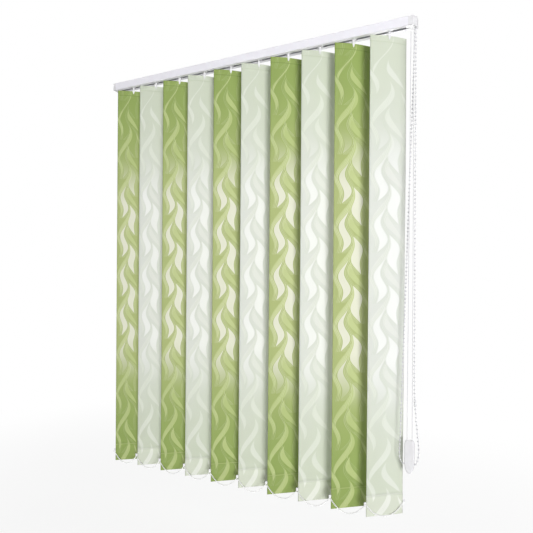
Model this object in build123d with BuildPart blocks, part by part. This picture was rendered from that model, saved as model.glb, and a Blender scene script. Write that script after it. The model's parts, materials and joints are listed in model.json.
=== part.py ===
"""Vertical blind: a slotted head rail, ten cloth vanes on geared carriers, chains, cord and cord weight.

Millimetres, +Z up, +X along the rail to the control end, -Y towards the room.
The origin is the middle of the rail's top face.
"""
import os
from math import cos, radians, sin, tan

from build123d import *

os.makedirs("parts", exist_ok=True)

# The blind as a whole
vane_count = 10
vane_angle = 40.0
row_margin = 143.0
row_offset = 9.0
cut_overrun = 1.0
slide_gap = 0.3
shaft_gap = 0.1

# Head rail
rail_length = 1214.0
rail_depth = 40.0
rail_height = 29.0
rail_wall = 1.4
rail_slot = 12.0
rail_corner = 2.0
rail_rib_width = 1.2
rail_rib_height = 2.0
rail_rib_spacing = 30.0

# Tilt rod and chain sprocket
rod_radius = 3.0
rod_flute_radius = 0.8
rod_flutes = 3
rod_setback = 9.5
rod_drop = 11.0
sprocket_pitch_radius = 6.0
sprocket_flange_radius = 7.4
sprocket_flange = 1.2

# End caps
control_cap_length = 24.0
return_cap_length = 14.0
cap_wall = 1.6
cap_web = 1.4
cap_plug_length = 9.0
cap_corner_cut = 9.0
cap_corner_sweep = 16.0
cap_edge = 1.2
cord_hole_gap = 0.8
chain_hole_gap = 1.0

# Traverse cord and its pulleys
cord_radius = 0.9
cord_level = 12.0
cord_setback = 12.0
pulley_radius = 3.5
pulley_width = 3.2
pulley_groove = 0.8
pulley_pin_radius = 1.0
guide_pulley_spacing = 8.0
guide_pulley_edge = 5.4

# Carriers
carrier_length = 20.0
carrier_wall = 1.6
carrier_top_drop = 7.0
carrier_lift = 1.0
roller_radius = 4.0
roller_width = 4.0
roller_setback = 14.2
roller_axle_radius = 1.6
cord_clamp_height = 5.0
cord_clamp_length = 12.0

# Hooks
hook_wheel_radius = 5.0
hook_wheel_teeth = 12
hook_tooth_width = 1.2
hook_tooth_height = 1.2
hook_wheel_height = 6.0
hook_floor_drop = 16.0
hook_journal_radius = 2.5
hook_stem_radius = 3.2
hook_knob_radius = 4.6
hook_knob_height = 4.5
hook_crown_height = 3.0
hook_jaw_width = 11.0
hook_tip_width = 2.4
hook_jaw_length = 12.0
hook_jaw_wall = 1.5
hook_catch_width = 4.0
hook_catch_height = 2.4

# Vanes and bottom weights
vane_width = 127.0
vane_length = 1547.0
vane_gap = 12.0
vane_cloth = 0.6
vane_hanger = 1.0
vane_top_hem = 20.0
vane_bottom_hem = 50.0
vane_slot_width = 6.0
vane_slot_drop = 6.0
weight_thickness = 2.0
weight_height = 44.0
weight_corner = 5.0
clip_width = 8.0
clip_height = 11.0
clip_thickness = 3.6
clip_level = 42.0
clip_edge = 1.0

# Bottom chains
swag_radius = 1.4
swag_sides = 8
swag_drop = 35.0
swag_landing = 2.0
swag_span_shares = (0.0, 0.10, 0.26, 0.42, 0.58, 0.74, 0.90, 1.0)
swag_drop_shares = (0.0, 0.42, 0.83, 1.03, 1.03, 0.83, 0.42, 0.0)
end_swag_stand_off = 4.0

# Cord weight
plummet_width = 30.0
plummet_depth = 14.0
plummet_height = 106.0
plummet_top_width = 21.0
plummet_shoulder = 17.0
plummet_tip_height = 30.0
plummet_tip_width = 8.0
plummet_edge = 2.0
plummet_x = 622.5
plummet_y = -2.0
plummet_top = -1331.0
plummet_slot_drop = 81.0
plummet_cord_depth = 18.0
plummet_cord_spacing = 16.0

# Control chain
chain_radius = 2.2
chain_join_gap = 1.5

vane_pitch = (rail_length - row_margin) / (vane_count - 1)
vane_along = Vector(cos(radians(vane_angle)), sin(radians(vane_angle)), 0)
vane_back = Vector(-sin(radians(vane_angle)), cos(radians(vane_angle)), 0)
vane_top = -rail_height - vane_gap
vane_bottom = vane_top - vane_length
rail_floor = -rail_height + rail_wall
rail_end = rail_length / 2
rod_place = (rod_setback, -rod_drop)
hem_half = vane_cloth + weight_thickness / 2 + shaft_gap
hanger_half = vane_cloth + vane_hanger / 2
clip_reach = vane_width / 2 + clip_width / 2
clip_height_place = vane_bottom + clip_level
cord_turn_radius = pulley_radius - pulley_groove + cord_radius + shaft_gap
cord_front = -cord_setback - cord_turn_radius
cord_back = -cord_setback + cord_turn_radius
inner_guide_x = rail_end + guide_pulley_edge
outer_guide_x = inner_guide_x + guide_pulley_spacing
guide_drop = cord_level + cord_turn_radius
inner_strand_x = inner_guide_x + cord_turn_radius
outer_strand_x = outer_guide_x + cord_turn_radius
return_pulley_x = -rail_end - return_cap_length / 2
sprocket_half = chain_radius + slide_gap + sprocket_flange
sprocket_x = rail_end + control_cap_length - cap_wall - slide_gap - sprocket_half
chain_near_y = rod_setback - sprocket_pitch_radius
chain_far_y = rod_setback + sprocket_pitch_radius
cord_end = plummet_top - plummet_cord_depth


def pivot_x(index):
    """Where the stem of one vane stands along the rail."""
    return row_offset + (index - (vane_count - 1) / 2) * vane_pitch


def route_line(points):
    """Straight runs joined by tangent arcs, each as large as its two runs allow."""
    corners = [Vector(point) for point in points]
    radii = []
    for before, corner, after in zip(corners, corners[1:], corners[2:]):
        turn = (corner - before).get_angle(after - corner)
        shorter = min((corner - before).length, (after - corner).length)
        radii.append(0.45 * shorter / tan(radians(turn) / 2))
    return FilletPolyline(*corners, radius=radii)


def save(part, name):
    """Name one piece and write it."""
    part.label = name
    export_step(part, f"parts/{name}.step")


# Head rail: a slotted box section with two ribs under its roof
with BuildPart() as head_rail:
    with BuildSketch(Plane.YZ.offset(-rail_end)):
        with Locations((0, -rail_height / 2)):
            RectangleRounded(rail_depth, rail_height, rail_corner)
            Rectangle(rail_depth - 2 * rail_wall, rail_height - 2 * rail_wall, mode=Mode.SUBTRACT)
        with Locations((0, -rail_height)):
            Rectangle(rail_slot, 2 * rail_wall + cut_overrun, mode=Mode.SUBTRACT)
        with Locations((-rail_rib_spacing / 2, -rail_wall), (rail_rib_spacing / 2, -rail_wall)):
            Rectangle(rail_rib_width, rail_rib_height, align=(Align.CENTER, Align.MAX))
    extrude(amount=rail_length)
save(head_rail.part, "head_rail")

# Tilt rod: a fluted bar carried by both end caps
rod_start = -rail_end - cap_wall
rod_finish = rail_end + control_cap_length - cap_wall - slide_gap
with BuildPart() as tilt_rod:
    with BuildSketch(Plane.YZ.offset(rod_start)):
        with Locations(rod_place):
            Circle(rod_radius)
            with PolarLocations(rod_radius, rod_flutes):
                Circle(rod_flute_radius, mode=Mode.SUBTRACT)
    extrude(amount=rod_finish - rod_start)
save(tilt_rod.part, "tilt_rod")

# Chain sprocket: a flanged drum on the end of the tilt rod
with BuildPart() as chain_sprocket:
    with BuildSketch(Plane.YZ.offset(sprocket_x - sprocket_half)):
        with Locations(rod_place):
            Circle(sprocket_flange_radius)
    extrude(amount=2 * sprocket_half)
    with BuildSketch(Plane.YZ.offset(sprocket_x - sprocket_half + sprocket_flange)):
        with Locations(rod_place):
            Circle(sprocket_flange_radius + cut_overrun)
            Circle(sprocket_pitch_radius - chain_radius - slide_gap, mode=Mode.SUBTRACT)
    extrude(amount=2 * (sprocket_half - sprocket_flange), mode=Mode.SUBTRACT)
    with BuildSketch(Plane.YZ.offset(sprocket_x - sprocket_half - cut_overrun)):
        with Locations(rod_place):
            Circle(rod_radius + shaft_gap / 2)
    extrude(amount=2 * (sprocket_half + cut_overrun), mode=Mode.SUBTRACT)
save(chain_sprocket.part, "chain_sprocket")

# End caps: each a moulded box that plugs into the rail and carries the tilt rod in a bearing plate
cap_inner_depth = rail_depth - 2 * cap_wall
cap_inner_height = rail_height - 2 * cap_wall
plug_depth = rail_depth - 2 * rail_wall - 2 * shaft_gap
plug_height = rail_height - 2 * rail_wall - 2 * shaft_gap
plug_hollow_depth = plug_depth - 2 * cap_wall
plug_hollow_height = plug_height - 2 * cap_wall
web_place = chain_near_y - chain_radius - slide_gap - cap_web


def rail_plug(face_x, outward):
    """A hollow plug behind the cap's shoulder, notched for the rail's ribs, with the rod's bearing plate."""
    with BuildPart() as plug:
        with BuildSketch(Plane.YZ.offset(face_x)):
            with Locations((0, -rail_height / 2)):
                Rectangle(plug_depth, plug_height)
                Rectangle(plug_hollow_depth, plug_hollow_height, mode=Mode.SUBTRACT)
            with GridLocations(rail_rib_spacing, rail_wall, 2, 1):
                Rectangle(rail_rib_width + 2 * slide_gap, 2 * (rail_wall + rail_rib_height + slide_gap),
                          mode=Mode.SUBTRACT)
        extrude(amount=-outward * cap_plug_length)
        with BuildSketch(Plane.YZ.offset(face_x - outward * cap_plug_length)):
            with Locations((plug_hollow_depth / 2 + cap_wall / 2, -rail_height / 2)):
                Rectangle(plug_hollow_depth / 2 - web_place, plug_hollow_height + cap_wall,
                          align=(Align.MAX, Align.CENTER))
            with Locations(rod_place):
                Circle(rod_radius + shaft_gap, mode=Mode.SUBTRACT)
            with GridLocations(rail_rib_spacing, rail_wall, 2, 1):
                Rectangle(rail_rib_width + 2 * slide_gap, 2 * (rail_wall + rail_rib_height + slide_gap),
                          mode=Mode.SUBTRACT)
        extrude(amount=outward * cap_wall)
    return plug.part


# Control end cap: a web between the cord's bay and the chain's bay, two pulley pins and holes underneath
with BuildPart() as control_end_cap:
    with BuildSketch(Plane.XY.offset(-rail_height)) as cap_plan:
        with BuildLine():
            Polyline(
                (rail_end, -rail_depth / 2),
                (rail_end + control_cap_length - cap_corner_cut, -rail_depth / 2),
                (rail_end + control_cap_length, -rail_depth / 2 + cap_corner_sweep),
                (rail_end + control_cap_length, rail_depth / 2),
                (rail_end, rail_depth / 2),
                close=True,
            )
        make_face()
    extrude(amount=rail_height)
    fillet(control_end_cap.edges().filter_by(Axis.X), radius=rail_corner)
    with BuildSketch(Plane.XY.offset(-rail_height + cap_wall)):
        add(cap_plan.sketch_local)
        offset(amount=-cap_wall, kind=Kind.INTERSECTION, mode=Mode.REPLACE)
    extrude(amount=cap_inner_height, mode=Mode.SUBTRACT)
    with BuildSketch(Plane.YZ.offset(rail_end)):
        with Locations((0, -rail_height / 2)):
            Rectangle(plug_hollow_depth, plug_hollow_height)
    extrude(amount=cap_wall + cut_overrun, mode=Mode.SUBTRACT)
    with BuildSketch(Plane.YZ.offset(rail_end)):
        with Locations((web_place + cap_web / 2, -rail_height / 2)):
            Rectangle(cap_web, cap_inner_height + cap_wall)
    extrude(amount=control_cap_length - cap_wall / 2)
    add(rail_plug(rail_end, 1))
    with BuildSketch(Plane.XZ.offset(-web_place)):
        with Locations((inner_guide_x, -guide_drop), (outer_guide_x, -guide_drop)):
            Circle(pulley_pin_radius)
    extrude(amount=web_place + rail_depth / 2 - cap_wall / 2)
    with BuildSketch(Plane.XY.offset(-rail_height - cut_overrun)):
        with Locations((inner_strand_x, cord_front), (outer_strand_x, cord_back)):
            Circle(cord_radius + cord_hole_gap)
        with Locations((sprocket_x, chain_near_y), (sprocket_x, chain_far_y)):
            Circle(chain_radius + chain_hole_gap)
    extrude(amount=cap_wall + 2 * cut_overrun, mode=Mode.SUBTRACT)
save(control_end_cap.part, "control_end_cap")

# Return end cap: a shallow box with the return pulley's pin and its stand
with BuildPart() as return_end_cap:
    with BuildSketch(Plane.YZ.offset(-rail_end)):
        with Locations((0, -rail_height / 2)):
            RectangleRounded(rail_depth, rail_height, rail_corner)
    extrude(amount=-return_cap_length)
    fillet(return_end_cap.faces().sort_by(Axis.X)[0].edges(), radius=cap_edge)
    with BuildSketch(Plane.YZ.offset(-rail_end - cap_wall)):
        with Locations((0, -rail_height / 2)):
            Rectangle(cap_inner_depth, cap_inner_height)
    extrude(amount=-return_cap_length + 2 * cap_wall, mode=Mode.SUBTRACT)
    with BuildSketch(Plane.YZ.offset(-rail_end)):
        with Locations((0, -rail_height / 2)):
            Rectangle(plug_hollow_depth, plug_hollow_height)
    extrude(amount=-cap_wall - cut_overrun, mode=Mode.SUBTRACT)
    add(rail_plug(-rail_end, -1))
    with BuildSketch(Plane.XY.offset(-rail_height + cap_wall / 2)):
        with Locations((return_pulley_x, -cord_setback)):
            Circle(pulley_pin_radius)
    extrude(amount=cap_inner_height + cap_wall)
    with BuildSketch(Plane.XY.offset(-rail_height + cap_wall / 2)):
        with Locations((return_pulley_x, -cord_setback)):
            Circle(2 * pulley_pin_radius)
    extrude(amount=rail_height - cap_wall / 2 - cord_level - pulley_width / 2 - shaft_gap)
save(return_end_cap.part, "return_end_cap")


def pulley(plane):
    """A grooved wheel turned about its pin, standing centred on a plane."""
    with BuildPart() as wheel:
        with BuildSketch(plane.offset(-pulley_width / 2)):
            Circle(pulley_radius)
            Circle(pulley_pin_radius + shaft_gap, mode=Mode.SUBTRACT)
        extrude(amount=pulley_width)
        with BuildSketch(plane.offset(-cord_radius - shaft_gap)):
            Circle(pulley_radius + cut_overrun)
            Circle(pulley_radius - pulley_groove, mode=Mode.SUBTRACT)
        extrude(amount=2 * (cord_radius + shaft_gap), mode=Mode.SUBTRACT)
    return wheel.part


save(pulley(Plane((return_pulley_x, -cord_setback, -cord_level))), "return_pulley")
save(pulley(Plane((inner_guide_x, cord_front, -guide_drop), z_dir=(0, 1, 0))), "inner_guide_pulley")
save(pulley(Plane((outer_guide_x, cord_back, -guide_drop), z_dir=(0, 1, 0))), "outer_guide_pulley")

# Traverse cord in the rail: along it, round the return pulley and back, down over the guide pulleys
with BuildPart() as traverse_cord:
    with BuildLine() as rail_route:
        FilletPolyline(
            (inner_strand_x, cord_front, -rail_height),
            (inner_strand_x, cord_front, -cord_level),
            (return_pulley_x - cord_turn_radius, cord_front, -cord_level),
            (return_pulley_x - cord_turn_radius, cord_back, -cord_level),
            (outer_strand_x, cord_back, -cord_level),
            (outer_strand_x, cord_back, -rail_height),
            radius=cord_turn_radius - shaft_gap,
        )
    with BuildSketch(Plane((inner_strand_x, cord_front, -rail_height))):
        Circle(cord_radius)
    sweep()
save(traverse_cord.part, "traverse_cord")

# Hanging strands of the traverse cord, pulled straight by the cord weight
strand_ends = {
    "inner_cord_strand": ((inner_strand_x, cord_front), plummet_x - plummet_cord_spacing / 2),
    "outer_cord_strand": ((outer_strand_x, cord_back), plummet_x + plummet_cord_spacing / 2),
}
for name, (top_place, end_x) in strand_ends.items():
    with BuildPart() as cord_strand:
        with BuildSketch(Plane.XY.offset(-rail_height)):
            with Locations(top_place):
                Circle(cord_radius)
        with BuildSketch(Plane.XY.offset(cord_end)):
            with Locations((end_x, plummet_y)):
                Circle(cord_radius)
        loft(ruled=True)
    save(cord_strand.part, name)

# Cord weight: a flat plummet with rounded shoulders and foot, two cord holes and a slot for the chain
slot_height = 2 * (chain_radius + slide_gap)
plummet_bottom = plummet_top - plummet_height
plummet_half = plummet_width / 2
shoulder_low = plummet_top - plummet_shoulder
tip_high = plummet_bottom + plummet_tip_height
with BuildPart() as cord_weight:
    with BuildSketch(Plane((plummet_x, plummet_y + plummet_depth / 2, 0), x_dir=(1, 0, 0), z_dir=(0, -1, 0))):
        with BuildLine():
            Line((0, plummet_top), (plummet_top_width / 2, plummet_top))
            TangentArc((plummet_half, shoulder_low), (plummet_top_width / 2, plummet_top), tangent=(0, 1))
            Line((plummet_half, shoulder_low), (plummet_half, tip_high))
            TangentArc((plummet_half, tip_high), (plummet_tip_width / 2, plummet_bottom), tangent=(0, -1))
            Line((plummet_tip_width / 2, plummet_bottom), (0, plummet_bottom))
            mirror(about=Plane.YZ)
        make_face()
    extrude(amount=plummet_depth)
    face_edges = cord_weight.edges().group_by(Axis.Y)
    chamfer(face_edges[0] + face_edges[-1], length=plummet_edge)
    with BuildSketch(Plane.XY.offset(cord_end - slide_gap)):
        with Locations((plummet_x, plummet_y)):
            with GridLocations(plummet_cord_spacing, plummet_depth, 2, 1):
                Circle(cord_radius + slide_gap)
    extrude(amount=plummet_cord_depth + slide_gap + cut_overrun, mode=Mode.SUBTRACT)
    with BuildSketch(Plane.YZ.offset(plummet_x - plummet_width / 2 - cut_overrun)):
        with Locations((plummet_y, plummet_top - plummet_slot_drop)):
            SlotOverall(2 * slot_height, slot_height, rotation=90)
    extrude(amount=plummet_width + 2 * cut_overrun, mode=Mode.SUBTRACT)
save(cord_weight.part, "cord_weight")

# Control chain: up from the cord weight, over the sprocket and down again, drawn as a plain tube
chain_join_z = plummet_top - plummet_slot_drop
chain_top_z = -rod_drop + sprocket_pitch_radius
with BuildPart() as control_chain:
    with BuildLine() as chain_route:
        lower_near = [
            (plummet_x - chain_join_gap, plummet_y, chain_join_z),
            (604.0, plummet_y, chain_join_z + 1.0),
            (594.5, plummet_y, -1402.0),
            (590.5, plummet_y, -1382.0),
            (592.0, plummet_y, -1345.0),
        ]
        over_sprocket = [
            (sprocket_x, chain_near_y, -rail_height),
            (sprocket_x, chain_near_y, chain_top_z),
            (sprocket_x, chain_far_y, chain_top_z),
            (sprocket_x, chain_far_y, -rail_height),
        ]
        lower_far = [
            (636.0, plummet_y, -1190.0),
            (643.5, plummet_y, -1285.0),
            (650.5, plummet_y, -1345.0),
            (651.5, plummet_y, -1378.0),
            (646.5, plummet_y, -1400.0),
            (638.0, plummet_y, chain_join_z + 1.0),
            (plummet_x + chain_join_gap, plummet_y, chain_join_z),
        ]
        route_line(lower_near + over_sprocket + lower_far)
    with BuildSketch(Plane(lower_near[0], z_dir=Vector(lower_near[1]) - Vector(lower_near[0]))):
        Circle(chain_radius)
    sweep()
save(control_chain.part, "control_chain")

# Carriers: a roller on each lip, a pocket for the hook's worm wheel and a bore for the tilt rod
for index in range(vane_count):
    carrier_x = pivot_x(index)
    pocket_radius = hook_wheel_radius + slide_gap
    body_half = pocket_radius + carrier_wall
    body_low = rail_floor + carrier_lift
    body_high = -carrier_top_drop
    boss_radius = rod_radius + slide_gap + carrier_wall
    roller_level = rail_floor + shaft_gap + roller_radius
    with BuildPart() as carrier:
        with BuildSketch(Plane.YZ.offset(carrier_x - carrier_length / 2)):
            with Locations((0, (body_low + body_high) / 2)):
                Rectangle(2 * body_half, body_high - body_low)
            with Locations(rod_place):
                Circle(boss_radius)
        extrude(amount=carrier_length)
        axle_half = roller_setback + roller_width / 2
        with BuildSketch(Plane((carrier_x, axle_half, roller_level), z_dir=(0, 1, 0))):
            Circle(roller_axle_radius)
        extrude(amount=-2 * axle_half)
        for roller_front in (-axle_half, axle_half - roller_width):
            with BuildSketch(Plane((carrier_x, roller_front, roller_level), z_dir=(0, 1, 0))):
                Circle(roller_radius)
            extrude(amount=roller_width)
        if index == 0:
            with BuildSketch(Plane.YZ.offset(carrier_x - cord_clamp_length / 2)):
                with Locations((-body_half, -cord_level)):
                    Rectangle(cord_clamp_height - cord_back - body_half, cord_clamp_height,
                              align=(Align.MAX, Align.CENTER))
            extrude(amount=cord_clamp_length)
            with BuildSketch(Plane.YZ.offset(carrier_x - carrier_length)):
                with Locations((cord_back, -cord_level)):
                    Circle(cord_radius + slide_gap)
            extrude(amount=2 * carrier_length, mode=Mode.SUBTRACT)
        with BuildSketch(Plane.YZ.offset(carrier_x - carrier_length)):
            with Locations(rod_place):
                Circle(rod_radius + slide_gap)
        extrude(amount=2 * carrier_length, mode=Mode.SUBTRACT)
        with BuildSketch(Plane((carrier_x, 0, -hook_floor_drop))):
            Circle(pocket_radius)
        extrude(amount=hook_floor_drop, mode=Mode.SUBTRACT)
        with BuildSketch(Plane((carrier_x, 0, -rail_height))):
            Circle(hook_journal_radius + shaft_gap)
        extrude(amount=rail_height, mode=Mode.SUBTRACT)
    save(carrier.part, f"carrier_{index + 1:02d}")

# Hooks: worm wheel, journal, stem through the slot, knob and two tapered jaws with a catch between them
catch_top = vane_top - vane_slot_drop
for index in range(vane_count):
    hook_x = pivot_x(index)
    wheel_low = -hook_floor_drop + shaft_gap
    stem_high = rail_floor + carrier_lift - slide_gap
    crown_high = vane_top + hook_crown_height
    jaw_inner = hanger_half + slide_gap
    face_plane = Plane((hook_x, 0, 0), x_dir=vane_along, z_dir=-vane_back)
    with BuildPart() as hook:
        with BuildSketch(Plane((hook_x, 0, wheel_low))):
            RegularPolygon(hook_wheel_radius - hook_tooth_height, hook_wheel_teeth)
            with PolarLocations(hook_wheel_radius - hook_tooth_height, hook_wheel_teeth):
                Rectangle(2 * hook_tooth_height - shaft_gap, hook_tooth_width)
        extrude(amount=hook_wheel_height)
        with BuildSketch(Plane((hook_x, 0, crown_high))):
            Circle(hook_journal_radius)
        extrude(amount=wheel_low - crown_high)
        with BuildSketch(Plane((hook_x, 0, crown_high))):
            Circle(hook_stem_radius)
        extrude(amount=stem_high - crown_high)
        with BuildSketch(Plane((hook_x, 0, -rail_height - slide_gap))):
            Circle(hook_knob_radius)
        extrude(amount=-hook_knob_height)
        with BuildSketch(face_plane):
            with BuildLine():
                Polyline(
                    (-hook_jaw_width / 2, crown_high),
                    (hook_jaw_width / 2, crown_high),
                    (hook_tip_width / 2, vane_top - hook_jaw_length),
                    (-hook_tip_width / 2, vane_top - hook_jaw_length),
                    close=True,
                )
            make_face()
        extrude(amount=jaw_inner + hook_jaw_wall, both=True)
        with BuildSketch(face_plane):
            with Locations((0, vane_top + slide_gap)):
                Rectangle(2 * hook_jaw_width, 2 * hook_jaw_length, align=(Align.CENTER, Align.MAX))
        extrude(amount=jaw_inner, both=True, mode=Mode.SUBTRACT)
        with BuildSketch(face_plane):
            with Locations((0, catch_top)):
                Rectangle(hook_catch_width, hook_catch_height, align=(Align.CENTER, Align.MAX))
        extrude(amount=jaw_inner + hook_jaw_wall / 2, both=True)
    save(hook.part, f"hook_{index + 1:02d}")

# Vanes: one cloth strip each, doubled over a hanger card at the top and over an open tube hem at the bottom
for index in range(vane_count):
    vane_x = pivot_x(index)
    side_plane = Plane((vane_x, 0, 0), x_dir=vane_back, z_dir=vane_along)
    face_plane = Plane((vane_x, 0, 0), x_dir=vane_along, z_dir=-vane_back)
    with BuildPart() as vane:
        with BuildSketch(side_plane):
            with Locations((0, vane_top)):
                Rectangle(vane_cloth, vane_length - vane_bottom_hem + vane_cloth,
                          align=(Align.CENTER, Align.MAX))
                Rectangle(2 * hanger_half, vane_top_hem, align=(Align.CENTER, Align.MAX))
            with Locations((0, vane_bottom)):
                Rectangle(2 * hem_half, vane_bottom_hem, align=(Align.CENTER, Align.MIN))
            with Locations((0, vane_bottom + vane_cloth)):
                Rectangle(2 * (hem_half - vane_cloth), vane_bottom_hem - 2 * vane_cloth,
                          align=(Align.CENTER, Align.MIN), mode=Mode.SUBTRACT)
        extrude(amount=vane_width / 2, both=True)
        with BuildSketch(face_plane):
            with Locations((0, catch_top + slide_gap)):
                Rectangle(vane_slot_width, hook_catch_height + 2 * slide_gap, align=(Align.CENTER, Align.MAX))
        extrude(amount=hem_half, both=True, mode=Mode.SUBTRACT)
    save(vane.part, f"vane_{index + 1:02d}")

# Bottom weights: a plate in each bottom hem with a chain clip past both edges of the cloth
for index in range(vane_count):
    face_plane = Plane((pivot_x(index), 0, 0), x_dir=vane_along, z_dir=-vane_back)
    weight_low = vane_bottom + vane_cloth + shaft_gap
    with BuildPart() as bottom_weight:
        with BuildSketch(face_plane):
            with Locations((0, weight_low + weight_height / 2)):
                RectangleRounded(vane_width - weight_corner, weight_height, weight_corner)
            with Locations((0, clip_height_place)):
                Rectangle(2 * clip_reach, clip_height / 2)
        extrude(amount=weight_thickness / 2, both=True)
        with BuildSketch(face_plane):
            with Locations((0, clip_height_place)):
                with GridLocations(2 * (clip_reach + slide_gap), clip_height, 2, 1):
                    RectangleRounded(clip_width - 2 * slide_gap, clip_height, clip_edge)
        extrude(amount=clip_thickness / 2, both=True)
    save(bottom_weight.part, f"bottom_weight_{index + 1:02d}")


def swag(start, finish, drop, bow):
    """A tube that hangs between two points, bowed sideways where it has to pass in front of cloth."""
    across = finish - start
    points = [
        start + across * along - Vector(0, 0, drop) * fall + bow * fall
        for along, fall in zip(swag_span_shares, swag_drop_shares)
    ]
    with BuildPart() as span:
        with BuildLine():
            route_line(points)
        with BuildSketch(Plane(points[0], z_dir=points[1] - points[0])):
            RegularPolygon(swag_radius, swag_sides)
        sweep()
    return span.part


def clip_foot(index, side, lean):
    """Where a swag meets the underside of a clip, a little to one side of its middle."""
    foot = Vector(pivot_x(index), 0, clip_height_place - clip_height / 2 - swag_radius)
    return foot + vane_along * side * (clip_reach + slide_gap) + Vector(swag_landing, 0, 0) * lean


# Bottom chains: one swag from clip to clip, in front of the vanes and behind them
for side, name in ((-1, "bottom_chain_front"), (1, "bottom_chain_back")):
    spans = [
        swag(clip_foot(index, side, 1), clip_foot(index + 1, side, -1), swag_drop, Vector(0, 0, 0))
        for index in range(vane_count - 1)
    ]
    chain = Compound(children=spans)
    save(chain, name)


def clip_front(index, side):
    """Where a swag meets the front of a clip."""
    stand_off = clip_thickness / 2 + swag_radius + shaft_gap
    middle = Vector(pivot_x(index), 0, clip_height_place)
    return middle + vane_along * side * (clip_reach + slide_gap) - vane_back * stand_off


# End of the front chain: one more swag across the face of the last vane to its far clip
last = vane_count - 1
end_swag = swag(clip_front(last, -1), clip_front(last, 1), clip_level, vane_back * -end_swag_stand_off)
save(end_swag, "bottom_chain_end")
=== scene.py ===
"""Dresses the vertical blind: figured cloth vanes, bead and ball chains, cord, white enamel and mouldings."""
import json
from math import cos, pi, radians, sin

import bpy
import numpy as np
from mathutils import Matrix, Vector


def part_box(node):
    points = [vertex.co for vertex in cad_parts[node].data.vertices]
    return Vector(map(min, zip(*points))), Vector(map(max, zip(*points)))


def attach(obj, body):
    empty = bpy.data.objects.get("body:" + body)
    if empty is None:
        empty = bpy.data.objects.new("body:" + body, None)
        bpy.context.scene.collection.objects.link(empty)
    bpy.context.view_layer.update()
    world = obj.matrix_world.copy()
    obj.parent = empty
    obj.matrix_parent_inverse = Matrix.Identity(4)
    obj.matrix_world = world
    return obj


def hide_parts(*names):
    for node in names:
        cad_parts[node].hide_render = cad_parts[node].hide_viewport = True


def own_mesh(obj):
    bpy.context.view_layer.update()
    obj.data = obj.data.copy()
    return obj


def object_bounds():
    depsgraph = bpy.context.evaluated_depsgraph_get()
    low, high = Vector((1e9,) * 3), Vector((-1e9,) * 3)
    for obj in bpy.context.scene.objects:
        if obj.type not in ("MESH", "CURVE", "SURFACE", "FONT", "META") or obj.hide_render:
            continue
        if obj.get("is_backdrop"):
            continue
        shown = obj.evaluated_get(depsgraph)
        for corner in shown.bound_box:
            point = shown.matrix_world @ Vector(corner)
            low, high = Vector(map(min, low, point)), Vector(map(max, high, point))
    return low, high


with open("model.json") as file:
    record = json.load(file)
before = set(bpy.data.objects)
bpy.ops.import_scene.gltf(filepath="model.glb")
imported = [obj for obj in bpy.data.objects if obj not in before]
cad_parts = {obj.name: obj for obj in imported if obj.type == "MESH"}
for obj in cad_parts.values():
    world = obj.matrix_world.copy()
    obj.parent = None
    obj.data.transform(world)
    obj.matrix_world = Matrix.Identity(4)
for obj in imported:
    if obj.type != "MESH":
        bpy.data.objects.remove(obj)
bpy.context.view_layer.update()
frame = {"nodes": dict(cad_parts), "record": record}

bl_info = {
    "name": "Vertical Blind",
    "version": (1, 0, 0),
    "blender": (4, 5, 0),
    "location": "View3D > Sidebar > Blind",
    "description": "Cloth, chains, cord and finishes of a vertical blind",
    "category": "Object",
}

VANES = [f"{number:02d}" for number in range(1, 11)]
VANE_ANGLE = radians(40.0)
ALONG = np.array([cos(VANE_ANGLE), sin(VANE_ANGLE), 0.0])
BACK = np.array([-sin(VANE_ANGLE), cos(VANE_ANGLE), 0.0])


def node_middle(name):
    """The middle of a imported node's box, in metres."""
    low, high = (np.array(corner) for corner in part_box(name))
    return (low + high) / 2


def vane_size():
    """Top and bottom level of the vanes."""
    low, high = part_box("vane_01")
    return high[2], low[2]


class ClothSettings(bpy.types.PropertyGroup):
    """Sizes of the vanes and of their pattern."""
    width: bpy.props.FloatProperty(name="Width", description="Cloth width of a vane", default=0.127, unit="LENGTH")
    cloth: bpy.props.FloatProperty(name="Cloth", description="Thickness of the cloth", default=0.0006, unit="LENGTH")
    top_hem: bpy.props.FloatProperty(name="Top hem", description="Depth of the top hem", default=0.020, unit="LENGTH")
    bottom_hem: bpy.props.FloatProperty(
        name="Bottom hem", description="Depth of the bottom hem", default=0.066, unit="LENGTH")
    top_hem_half: bpy.props.FloatProperty(
        name="Top hem half", description="Half the top hem's thickness", default=0.0011, unit="LENGTH")
    bottom_hem_half: bpy.props.FloatProperty(
        name="Bottom hem half", description="Half the bottom hem's thickness", default=0.0017, unit="LENGTH")
    curl: bpy.props.FloatProperty(
        name="Curl", description="How far the top corners bend back from the hook", default=0.0050, unit="LENGTH")
    cup: bpy.props.FloatProperty(
        name="Cup", description="How far the edges bend back at mid height", default=0.0016, unit="LENGTH")
    repeat: bpy.props.FloatProperty(
        name="Repeat", description="Height of one repeat of the pattern", default=0.164, unit="LENGTH")
    narrowing: bpy.props.FloatProperty(
        name="Narrowing", description="Share by which the pattern is narrower from vane to vane", default=0.0335)


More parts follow.
